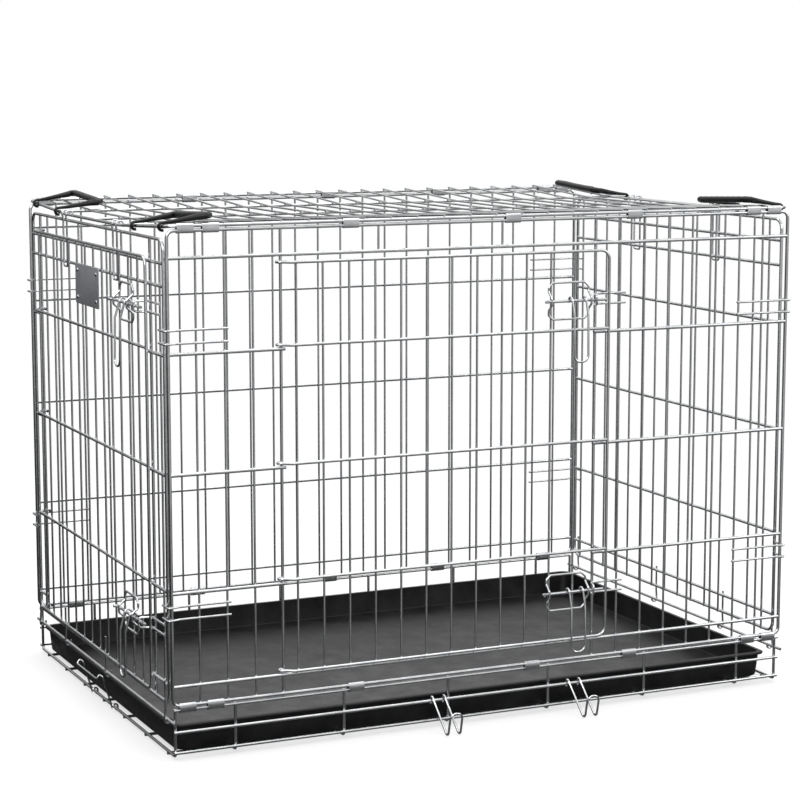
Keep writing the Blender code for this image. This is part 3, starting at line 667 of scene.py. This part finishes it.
for name, along in LOCKS.items():
    leg = [(-out, WALL_RAILS[1] + up) for out, up in curled(LOCK_RING, -60, 15, 16)]
    leg += LOCK_LEG
    near = [front(along - LOCK_HALF, out, up) for out, up in leg]
    far = [front(along + LOCK_HALF, out, up) for out, up in reversed(leg)]
    arch = rounded([*near[-2:], *far[:2]], LOCK_ARCH)[1:-1]
    start = rounded([*near[-3:-1], arch[0]], LOCK_BEND)[:-1]
    end = rounded([arch[-1], *far[1:3]], LOCK_BEND)[1:]
    wire_piece(name + "_wire", name, name, (THIN, [near[:-3] + start + arch + end + far[3:]]))

stop_in = WIDTH / 2 - END_X
leg = [(-stop_in - out, CROSS_Z + up) for out, up in curled(STOP_RING, -75, 15, 17)]
leg += STOP_LEG
near = [left(STOP_SPAN[0], out, up) for out, up in leg]
far = [left(STOP_SPAN[1], out, up) for out, up in reversed(leg)]
bend = rounded(near[-4:] + far[:4], STOP_BEND, steps=STOP_STEPS)
wire_piece("tray_stop_wire", "tray_stop", "tray_stop", (STOP_R, [near[:-4] + bend + far[4:]]))


# A small plate of dull sheet steel is riveted to the end door's uprights by its four corners.
PLATE_NEAR, PLATE_FAR = 0.2460, 0.3500
PLATE_LOW, PLATE_HIGH = 0.5520, 0.6070
PLATE_THICK, PLATE_GAP = 0.0012, 0.0003
PLATE_BEND, PLATE_EDGE = 0.003, 0.0003
RIVET_RADIUS, RIVET_FLATNESS = 0.0029, 0.50
RIVET_ALONG, RIVET_UP = 0.0100, 0.0090
plate_out = DOOR_BEHIND + THIN + PLATE_GAP

steel = bpy.data.materials.new("grey_steel")
steel.use_nodes = True
nodes, links = steel.node_tree.nodes, steel.node_tree.links
shader = nodes["Principled BSDF"]
shader.inputs["Metallic"].default_value = 0.85
place_of = nodes.new("ShaderNodeTexCoord")
rolled = nodes.new("ShaderNodeMapping")
rolled.inputs["Scale"].default_value = (1.0, 1.0, 14.0)
links.new(place_of.outputs["Object"], rolled.inputs["Vector"])
grain = nodes.new("ShaderNodeTexNoise")
grain.inputs["Scale"].default_value = 120.0
grain.inputs["Detail"].default_value = 5.0
links.new(rolled.outputs["Vector"], grain.inputs["Vector"])
tint = nodes.new("ShaderNodeValToRGB")
tint.color_ramp.elements[0].position = 0.35
tint.color_ramp.elements[0].color = (0.330, 0.344, 0.368, 1.0)
tint.color_ramp.elements[1].position = 0.70
tint.color_ramp.elements[1].color = (0.450, 0.464, 0.490, 1.0)
links.new(grain.outputs["Fac"], tint.inputs["Fac"])
links.new(tint.outputs["Color"], shader.inputs["Base Color"])
dull = spread(steel.node_tree, grain.outputs["Fac"], 0.0, 1.0, 0.34, 0.56)
links.new(dull, shader.inputs["Roughness"])
grain_bump(steel.node_tree, grain.outputs["Fac"], 0.10, 0.0002)

shape = bmesh.new()
corners = rounded([
    left(along, plate_out, up)
    for along, up in (
        (PLATE_NEAR, PLATE_LOW), (PLATE_FAR, PLATE_LOW),
        (PLATE_FAR, PLATE_HIGH), (PLATE_NEAR, PLATE_HIGH),
    )
], PLATE_BEND, closed=True)
outline = [shape.verts.new(point) for point in corners]
face = bmesh.ops.contextual_create(shape, geom=outline)["faces"]
pulled = bmesh.ops.extrude_face_region(shape, geom=face)["geom"]
front_verts = [item for item in pulled if isinstance(item, bmesh.types.BMVert)]
bmesh.ops.translate(shape, verts=front_verts, vec=(-PLATE_THICK, 0, 0))
rim = [
    edge for edge in shape.edges
    if all(abs(vert.co.x - front_verts[0].co.x) < PLATE_THICK / 2 for vert in edge.verts)
]
bmesh.ops.bevel(
    shape, geom=rim, offset=PLATE_EDGE, segments=2, affect="EDGES", profile=0.5, material=-1
)
finish_piece(shape, "plate_sheet", "end_door", steel, "grey_steel", "door_plate")

for index, (along, up) in enumerate(
    (along, up)
    for along in (PLATE_NEAR + RIVET_ALONG, PLATE_FAR - RIVET_ALONG)
    for up in (PLATE_LOW + RIVET_UP, PLATE_HIGH - RIVET_UP)
):
    shape = bmesh.new()
    bmesh.ops.create_uvsphere(shape, u_segments=20, v_segments=12, radius=RIVET_RADIUS)
    bmesh.ops.scale(shape, verts=shape.verts, vec=(RIVET_FLATNESS, 1.0, 1.0))
    bmesh.ops.translate(
        shape, verts=shape.verts, vec=left(along, plate_out + PLATE_THICK, up)
    )
    finish_piece(shape, f"plate_rivet_{index + 1}", "end_door", zinc, "bright_zinc")


# The tray is one vacuum-formed pan of black plastic with sloping walls, a small turned lip and
# a flat floor. It is satin, with fine grain and light scuffs.
TRAY_WALL = 0.0022
TRAY_BRIM = 0.0070
TRAY_FLARE = 0.0030
TRAY_CORNER = 0.014
TRAY_FOOT = 0.003
RIM_STEPS = ((0.0022, 0.0), (0.0018, -0.0010))
TRAY_TOP = 0.0415
TRAY_SEAT = 0.0003
TRAY_GAP_SIDE, TRAY_GAP_LEFT, TRAY_GAP_RIGHT = 0.0105, 0.0030, 0.0120
TRAY_BOTTOM = CROSS_Z + MEDIUM + TRAY_SEAT
TRAY_HALF_Y = DEPTH / 2 - TRAY_GAP_SIDE
TRAY_LEFT = -WIDTH / 2 + TRAY_GAP_LEFT
TRAY_RIGHT = WIDTH / 2 - TRAY_GAP_RIGHT

plastic = bpy.data.materials.new("black_plastic")
plastic.use_nodes = True
nodes, links = plastic.node_tree.nodes, plastic.node_tree.links
shader = nodes["Principled BSDF"]
shader.inputs["Specular IOR Level"].default_value = 0.26
place_of = nodes.new("ShaderNodeTexCoord")
leather = nodes.new("ShaderNodeTexVoronoi")
leather.inputs["Scale"].default_value = 850.0
links.new(place_of.outputs["Object"], leather.inputs["Vector"])
scuffs = nodes.new("ShaderNodeTexNoise")
scuffs.inputs["Scale"].default_value = 26.0
scuffs.inputs["Detail"].default_value = 8.0
scuffs.inputs["Roughness"].default_value = 0.66
links.new(place_of.outputs["Object"], scuffs.inputs["Vector"])
shade = nodes.new("ShaderNodeValToRGB")
shade.color_ramp.elements[0].position = 0.35
shade.color_ramp.elements[0].color = (0.0030, 0.0030, 0.0034, 1.0)
shade.color_ramp.elements[1].position = 0.78
shade.color_ramp.elements[1].color = (0.0130, 0.0130, 0.0136, 1.0)
links.new(scuffs.outputs["Fac"], shade.inputs["Fac"])
links.new(shade.outputs["Color"], shader.inputs["Base Color"])
satin = spread(plastic.node_tree, scuffs.outputs["Fac"], 0.35, 0.70, 0.30, 0.48)
links.new(satin, shader.inputs["Roughness"])
grain_bump(plastic.node_tree, leather.outputs["Distance"], 0.22, 0.0003)

shape = bmesh.new()
bmesh.ops.create_cube(shape, size=1.0)
low_x, low_y = (TRAY_RIGHT - TRAY_LEFT) / 2 - TRAY_BRIM, TRAY_HALF_Y - TRAY_BRIM
middle_x = (TRAY_LEFT + TRAY_RIGHT) / 2
for vert in shape.verts:
    flare = TRAY_FLARE if vert.co.z > 0 else 0.0
    vert.co.x = (low_x + flare) * (1 if vert.co.x > 0 else -1) + middle_x
    vert.co.y = (low_y + flare) * (1 if vert.co.y > 0 else -1)
    vert.co.z = TRAY_TOP if vert.co.z > 0 else TRAY_BOTTOM
lid = [face for face in shape.faces if face.normal.z > 0.9]
bmesh.ops.delete(shape, geom=lid, context="FACES_ONLY")
corners = [e for e in shape.edges if abs(e.verts[0].co.z - e.verts[1].co.z) > 0.01]
bmesh.ops.bevel(
    shape, geom=corners, offset=TRAY_CORNER, segments=8, affect="EDGES", profile=0.5,
    material=-1,
)
foot = [e for e in shape.edges if max(v.co.z for v in e.verts) < TRAY_BOTTOM + MERGE]
bmesh.ops.bevel(
    shape, geom=foot, offset=TRAY_FOOT, segments=4, affect="EDGES", profile=0.5, material=-1
)
edge = [e for e in shape.edges if e.is_boundary]
for outward, drop in RIM_STEPS:
    pulled = bmesh.ops.extrude_edge_only(shape, edges=edge)["geom"]
    lip = {item for item in pulled if isinstance(item, bmesh.types.BMVert)}
    for vert in lip:
        vert.co.x = middle_x + (vert.co.x - middle_x) * (1 + outward / low_x)
        vert.co.y *= 1 + outward / low_y
        vert.co.z += drop
    edge = [
        item for item in pulled
        if isinstance(item, bmesh.types.BMEdge) and set(item.verts) <= lip
    ]
bmesh.ops.recalc_face_normals(shape, faces=shape.faces)
tray = finish_piece(shape, "tray_pan", "tray", plastic, "black_plastic", "tray")
wall = tray.modifiers.new("wall", "SOLIDIFY")
wall.thickness = TRAY_WALL
wall.offset = 1.0
wall.use_even_offset = True


# Each carry handle is one black moulding: two open hooks snap round the roof's end rail, thin
# arms widen from them, and a flattened grip with shallow finger grooves joins the arms. A row
# of an arm says how far inward and up it lies, then half its width and half its thickness.
HANDLE_HALF = 0.0535
HANDLE_WALL = 0.0016
HUB_WALL = 0.0019
HUB_HALF = 0.0034
HUB_STEPS = 20
HANDLE_SIDES = 14
HANDLE_ARM = (
    (0.0120, 0.0058, 0.0025, 0.0025),
    (0.0290, 0.0086, 0.0036, 0.0031),
    (0.0455, 0.0112, 0.0046, 0.0042),
)
ARM_SPREAD = 0.0045
SHOULDER, SHOULDER_PAST = (0.0540, 0.0122, 0.0052, 0.0044), 0.0105
GRIP, GRIP_PAST = (0.0590, 0.0128, 0.0057, 0.0046), 0.0030
GRIP_STEPS, GROOVE = 16, 0.0004
HANDLES = {
    "handle_left_rear": (left, 0.0925),
    "handle_left_front": (left, 0.5415),
    "handle_right_front": (right, 0.0750),
    "handle_right_rear": (right, 0.5000),
}
HANDLE_RING = (HEAVY + CLEAR + HANDLE_WALL) / cos(radians(20))

for name, (place, centre) in HANDLES.items():
    ends = [centre - HANDLE_HALF, centre + HANDLE_HALF]
    heights = [roof_height(along) for along in ends]
    stations = []
    for which, away in ((0, -1), (1, 1)):
        half_side = [
            (ends[which], inward, up, HUB_HALF, HUB_WALL)
            for inward, up in curled(HANDLE_RING, -80, -10, HUB_STEPS)
        ]
        for inward, up, wide, thick in HANDLE_ARM:
            along = ends[which] + away * ARM_SPREAD * inward / HANDLE_ARM[-1][0]
            half_side.append((along, inward, up, wide, thick))
        half_side.append((ends[which] + away * SHOULDER_PAST, *SHOULDER))
        half_side.append((ends[which] + away * GRIP_PAST, *GRIP))
        if which:
            half_side.reverse()
        else:
            inward, up, wide, thick = GRIP
            span = ends[1] - ends[0] + 2 * GRIP_PAST
            for step in range(1, GRIP_STEPS):
                along = ends[0] - GRIP_PAST + span * step / GRIP_STEPS
                groove = GROOVE if step % 2 else 0.0
                half_side.append((along, inward, up, wide - groove, thick - groove))
        stations += half_side
    points, sections = [], []
    for along, inward, up, wide, thick in stations:
        mix = (along - ends[0]) / (ends[1] - ends[0])
        points.append(place(along, -inward, heights[0] * (1 - mix) + heights[1] * mix + up))
        sections.append((wide, thick))
    shape = bmesh.new()
    last = None
    for index, (point, (wide, thick)) in enumerate(zip(points, sections)):
        before = points[max(index - 1, 0)]
        after = points[min(index + 1, len(points) - 1)]
        run = (after - before).normalized()
        side = run.cross(Vector((0, 0, 1)))
        if abs(run.z) > 0.5 or index < HUB_STEPS or index >= len(points) - HUB_STEPS:
            side = place(1, 0, 0) - place(0, 0, 0)
            if index >= len(points) - HUB_STEPS:
                side = -side
        side = (side - run * side.dot(run)).normalized()
        rise = run.cross(side)
        turn = Matrix((side * wide, rise * thick, run)).transposed().to_4x4()
        ring = bmesh.ops.create_circle(
            shape, cap_ends=False, radius=1.0, segments=HANDLE_SIDES,
            matrix=Matrix.Translation(point) @ turn,
        )["verts"]
        edges = list({edge for vert in ring for edge in vert.link_edges})
        if last:
            bmesh.ops.bridge_loops(shape, edges=last + edges)
        last = edges
    open_ends = [edge for edge in shape.edges if edge.is_boundary]
    bmesh.ops.holes_fill(shape, edges=open_ends, sides=0)
    finish_piece(shape, name + "_moulding", name, plastic, "black_plastic", name)


# A pale seamless floor keeps the crate's shadow and turns white away from it. Metal shows it
# white behind the crate, where the backdrop stands. Elsewhere the floor glows for glossy rays as a
# painted reflection: grey on the camera's side, with painted shade darker on the left. Directions
# are towards the backdrop and the side painted lighter.
BACKDROP_TOWARD = (0.42, 0.91, 0.0)
BACKDROP_EDGE = (0.90, 0.96)
PAINTED_LIGHT_SIDE = (0.90, -0.42, 0.0)
FLOOR_RADIUS, FLOOR_SIDES = 14.0, 96


def combine(tree, operation, first, second):
    """Two values joined by a Math node."""
    node = tree.nodes.new("ShaderNodeMath")
    node.operation = operation
    tree.links.new(first, node.inputs[0])
    tree.links.new(second, node.inputs[1])
    return node.outputs["Value"]


def reach_toward(tree, vector, direction):
    """How far a vector reaches in a direction."""
    node = tree.nodes.new("ShaderNodeVectorMath")
    node.operation = "DOT_PRODUCT"
    node.inputs[1].default_value = direction
    tree.links.new(vector, node.inputs[0])
    return node.outputs["Value"]


def on_backdrop(tree, bearing):
    """1 in the directions where the white backdrop stands, and 0 elsewhere."""
    return spread(tree, reach_toward(tree, bearing, BACKDROP_TOWARD), *BACKDROP_EDGE)


def bounced(tree, rays):
    """1 for rays that metal or glass sends on."""
    glossy, through = rays.outputs["Is Glossy Ray"], rays.outputs["Is Transmission Ray"]
    return combine(tree, "MAXIMUM", glossy, through)


floor_shape = bmesh.new()
bmesh.ops.create_circle(floor_shape, cap_ends=True, radius=FLOOR_RADIUS, segments=FLOOR_SIDES)
floor_mesh = bpy.data.meshes.new("studio_floor")
floor_shape.to_mesh(floor_mesh)
floor_shape.free()
floor = bpy.data.objects.new("studio_floor", floor_mesh)
bpy.context.scene.collection.objects.link(floor)
paper = bpy.data.materials.new("studio_paper")
paper.use_nodes = True
tree = paper.node_tree
nodes, links = tree.nodes, tree.links
shader = nodes["Principled BSDF"]
shader.inputs["Base Color"].default_value = (0.86, 0.86, 0.86, 1.0)
shader.inputs["Roughness"].default_value = 0.9
shader.inputs["Specular IOR Level"].default_value = 0.0
rays = nodes.new("ShaderNodeLightPath")
place_of = nodes.new("ShaderNodeTexCoord")
distance = nodes.new("ShaderNodeVectorMath")
distance.operation = "LENGTH"
links.new(place_of.outputs["Object"], distance.inputs[0])
away = spread(tree, distance.outputs["Value"], 0.75, 2.2, 0.62, 1.0)
share = combine(tree, "MULTIPLY", rays.outputs["Is Camera Ray"], away)
white = nodes.new("ShaderNodeEmission")
white.inputs["Strength"].default_value = 1.0
seen = nodes.new("ShaderNodeMixShader")
links.new(share, seen.inputs["Fac"])
links.new(shader.outputs["BSDF"], seen.inputs[1])
links.new(white.outputs["Emission"], seen.inputs[2])
apart = nodes.new("ShaderNodeSeparateXYZ")
links.new(place_of.outputs["Object"], apart.inputs["Vector"])
# Painted reflection: for glossy rays the floor glows grey by place instead of showing its lit
# surface. It is greyer near the camera, with painted shade darker on the left.
painted_near_grey = spread(tree, apart.outputs["Y"], -2.0, -0.5, 0.46, 0.12)
painted_light_side = spread(tree, reach_toward(tree, place_of.outputs["Object"], PAINTED_LIGHT_SIDE), -0.55, 0.05, 0.22)
painted_reflection = combine(tree, "MULTIPLY", painted_near_grey, painted_light_side)
bearing = nodes.new("ShaderNodeVectorMath")
bearing.operation = "NORMALIZE"
links.new(place_of.outputs["Object"], bearing.inputs[0])
beyond = spread(tree, distance.outputs["Value"], 1.0, 2.0)
sweep = combine(tree, "MULTIPLY", on_backdrop(tree, bearing.outputs["Vector"]), beyond)
mirrored = nodes.new("ShaderNodeEmission")
links.new(combine(tree, "MAXIMUM", painted_reflection, sweep), mirrored.inputs["Strength"])
both = nodes.new("ShaderNodeMixShader")
links.new(bounced(tree, rays), both.inputs["Fac"])
links.new(seen.outputs["Shader"], both.inputs[1])
links.new(mirrored.outputs["Emission"], both.inputs[2])
links.new(both.outputs["Shader"], nodes["Material Output"].inputs["Surface"])
floor_mesh.materials.append(paper)


# The camera sees white all round, and metal shows the white backdrop behind the crate too. The
# rest of the studio that the bright wire shows is light overhead, grey in front and dark beside.
# Three large soft lamps light the crate from the front and above.
SURROUND_GREYS = ((0.30, 0.54), (0.45, 0.07), (0.58, 0.08), (0.88, 0.34))
LAMPS = {
    "key": ((-1.9, -2.4, 2.3), 1.5, 46.0),
    "fill": ((2.6, -1.6, 1.7), 1.8, 26.0),
    "top": ((0.2, 0.4, 3.0), 2.2, 30.0),
}
AIM_AT = Vector((0, 0, 0.3))

world = bpy.data.worlds.new("studio")
bpy.context.scene.world = world
world.use_nodes = True
tree = world.node_tree
nodes, links = tree.nodes, tree.links
surround = nodes["Background"]
surround.inputs["Color"].default_value = (1.0, 1.0, 1.0, 1.0)
rays = nodes.new("ShaderNodeLightPath")
direction = nodes.new("ShaderNodeTexCoord")
apart = nodes.new("ShaderNodeSeparateXYZ")
links.new(direction.outputs["Generated"], apart.inputs["Vector"])
greys = nodes.new("ShaderNodeValToRGB")
greys.color_ramp.elements[0].color = (0.66, 0.66, 0.67, 1.0)
greys.color_ramp.elements[1].color = (0.34, 0.34, 0.35, 1.0)
for where, grey in SURROUND_GREYS:
    greys.color_ramp.elements.new(where).color = (grey, grey, grey, 1.0)
links.new(spread(tree, apart.outputs["Y"], -1.0, 1.0), greys.inputs["Fac"])
overhead = spread(tree, apart.outputs["Z"], 0.15, 0.60, 0.0, 1.2)
studio = combine(tree, "MAXIMUM", greys.outputs["Color"], overhead)
backdrop = on_backdrop(tree, direction.outputs["Generated"])
shown = combine(tree, "MULTIPLY", bounced(tree, rays), backdrop)
mixed = nodes.new("ShaderNodeMix")
mixed.data_type = "FLOAT"
links.new(combine(tree, "MAXIMUM", rays.outputs["Is Camera Ray"], shown), mixed.inputs["Factor"])
links.new(studio, mixed.inputs["A"])
mixed.inputs["B"].default_value = 1.0
links.new(mixed.outputs["Result"], surround.inputs["Strength"])

for name, (stand, size, power) in LAMPS.items():
    lamp = bpy.data.lights.new(name, "AREA")
    lamp.size = size
    lamp.energy = power
    holder = bpy.data.objects.new(name, lamp)
    holder.location = stand
    holder.rotation_euler = (AIM_AT - Vector(stand)).to_track_quat("-Z", "Y").to_euler()
    bpy.context.scene.collection.objects.link(holder)


# The camera stands before the left front corner, a little above the roof, with a long lens.
# Its pose, lens and shift were fitted to the cage's wires in the photograph.
CAMERA_AT = Vector((-1.373, -2.982, 0.875))
YAW, PITCH = radians(24.80), radians(8.14)
FOCAL_PIXELS = 2294.7
IMAGE_PIXELS = 800
SHIFT_PIXELS = (-2.2, -6.6)
SENSOR = 36.0

forward = Vector((sin(YAW) * cos(PITCH), cos(YAW) * cos(PITCH), -sin(PITCH)))
camera_data = bpy.data.cameras.new("camera")
camera_data.sensor_width = SENSOR
camera_data.lens = FOCAL_PIXELS / IMAGE_PIXELS * SENSOR
camera_data.shift_x = SHIFT_PIXELS[0] / IMAGE_PIXELS
camera_data.shift_y = SHIFT_PIXELS[1] / IMAGE_PIXELS
camera = bpy.data.objects.new("camera", camera_data)
camera.location = CAMERA_AT
camera.rotation_euler = forward.to_track_quat("-Z", "Y").to_euler()
bpy.context.scene.collection.objects.link(camera)
bpy.context.scene.camera = camera
bpy.context.scene.view_settings.view_transform = "Standard"
